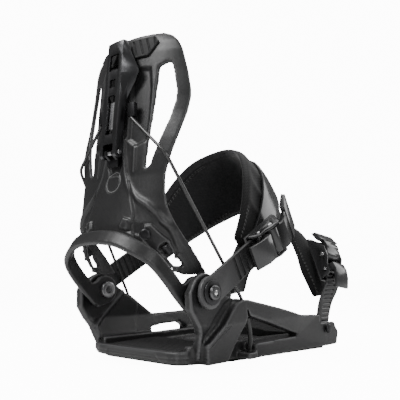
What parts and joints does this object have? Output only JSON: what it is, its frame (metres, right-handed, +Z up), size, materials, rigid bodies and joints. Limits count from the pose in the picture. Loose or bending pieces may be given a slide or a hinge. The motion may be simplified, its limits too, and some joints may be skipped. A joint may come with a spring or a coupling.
{
  "type": "rear-entry snowboard binding",
  "caption": "Black rear-entry snowboard binding: tray with open side walls, reclining highback on a heel hoop, rear lever with cables, padded ankle and toe straps.",
  "frame": {"origin": "centre of the mounting disc, on the face that lies on the board", "axes": "+X towards the toe, +Y towards the side without buckles, +Z up from the board"},
  "size_m": [0.2798, 0.1618, 0.268],
  "materials": {
    "nylon": "moulded glass-filled nylon, fine texture",
    "gloss_nylon": "smooth black nylon",
    "rubber": "ribbed black rubber",
    "foam": "dense black foam",
    "fabric": "black woven cover over foam",
    "steel": "plain steel",
    "black_metal": "black coated steel",
    "bright_metal": "bright metal",
    "lever_metal": "dark grey anodised aluminium",
    "cable_black": "black coated wire rope and its sleeve"
  },
  "bodies": {
    "base": {"base_gasket": "foam", "base_tray": "nylon", "cable_far": "cable_black", "cable_near": "cable_black", "cable_sheath_far": "cable_black", "cable_sheath_near": "cable_black", "disc_screw_1": "steel", "disc_screw_2": "steel", "disc_screw_3": "steel", "disc_screw_4": "steel", "heel_pad": "rubber", "mounting_disc": "nylon", "pivot_bolt_far": "steel", "pivot_bolt_near": "steel", "pivot_nut_far": "steel", "pivot_nut_near": "steel", "pivot_washer_far": "black_metal", "pivot_washer_near": "black_metal", "strap_spacer_far": "black_metal", "strap_spacer_near": "black_metal", "toe_bolt_far": "steel", "toe_bolt_near": "steel", "toe_pad_ramp": "rubber"},
    "highback": {"cable_guide_far": "black_metal", "cable_guide_near": "black_metal", "clamp_block_far": "black_metal", "clamp_block_near": "black_metal", "heel_hoop": "nylon", "highback": "nylon", "hoop_screw_far": "steel", "hoop_screw_near": "steel", "lever_bracket": "black_metal", "lever_pin": "steel", "top_grip": "rubber"},
    "lever": {"lever": "lever_metal"},
    "cable_block": {"cable_block": "bright_metal"},
    "ankle_strap": {"ankle_arm_far": "nylon", "ankle_arm_near": "nylon", "ankle_buckle_frame": "gloss_nylon", "ankle_lever_pin": "bright_metal", "ankle_pad": "fabric", "ankle_pawl_pin": "bright_metal", "ankle_shell": "gloss_nylon"},
    "ankle_ratchet_lever": {"ankle_ratchet_lever": "gloss_nylon"},
    "ankle_pawl": {"ankle_pawl": "gloss_nylon"},
    "toe_strap": {"toe_buckle_frame": "gloss_nylon", "toe_ladder_far": "nylon", "toe_ladder_near": "nylon", "toe_lever_pin": "bright_metal", "toe_pawl_pin": "bright_metal", "toe_strap_pad": "fabric"},
    "toe_ratchet_lever": {"toe_ratchet_lever": "gloss_nylon"},
    "toe_pawl": {"toe_pawl": "gloss_nylon"}
  },
  "joints": [
    {"name": "highback_recline", "type": "hinge", "parent": "base", "child": "highback", "pos_m": [-0.096, 0, 0.0586], "axis": [0, 1, 0], "range_deg": [-75, 0], "deforming": ["cable_near", "cable_far"]},
    {"name": "lever_open", "type": "hinge", "parent": "highback", "child": "lever", "pos_m": [-0.136, 0, 0.168], "axis": [0, 1, 0], "range_deg": [-90, 0]},
    {"name": "cable_block_slide", "type": "slide", "parent": "lever", "child": "cable_block", "axis": [0.0691, 0, 0.9976], "range_m": [-0.004, 0.004]},
    {"name": "ankle_strap_swing", "type": "hinge", "parent": "base", "child": "ankle_strap", "pos_m": [-0.096, 0, 0.0586], "axis": [0, 1, 0], "range_deg": [-15, 12]},
    {"name": "ankle_ratchet", "type": "hinge", "parent": "ankle_strap", "child": "ankle_ratchet_lever", "pos_m": [-0.02152, -0.0779, 0.1016], "axis": [0.5, 0, -0.866], "range_deg": [0, 70], "stiffness_Nm_per_rad": 0.05, "springref_deg": -11.46},
    {"name": "ankle_pawl_release", "type": "hinge", "parent": "ankle_strap", "child": "ankle_pawl", "pos_m": [-0.03451, -0.0755, 0.0941], "axis": [0.5, 0, -0.866], "range_deg": [0, 12], "stiffness_Nm_per_rad": 0.05, "springref_deg": -5.73},
    {"name": "toe_strap_swing", "type": "hinge", "parent": "base", "child": "toe_strap", "pos_m": [0.079, 0, 0.02], "axis": [0, 1, 0], "range_deg": [-4, 4]},
    {"name": "toe_ratchet", "type": "hinge", "parent": "toe_strap", "child": "toe_ratchet_lever", "pos_m": [0.09797, -0.06429, 0.09077], "axis": [0.9901, -0.0593, -0.127], "range_deg": [0, 70], "stiffness_Nm_per_rad": 0.05, "springref_deg": -11.46},
    {"name": "toe_pawl_release", "type": "hinge", "parent": "toe_strap", "child": "toe_pawl", "pos_m": [0.09587, -0.0681, 0.07622], "axis": [0.9901, -0.0593, -0.127], "range_deg": [0, 12], "stiffness_Nm_per_rad": 0.05, "springref_deg": -5.73}
  ]
}
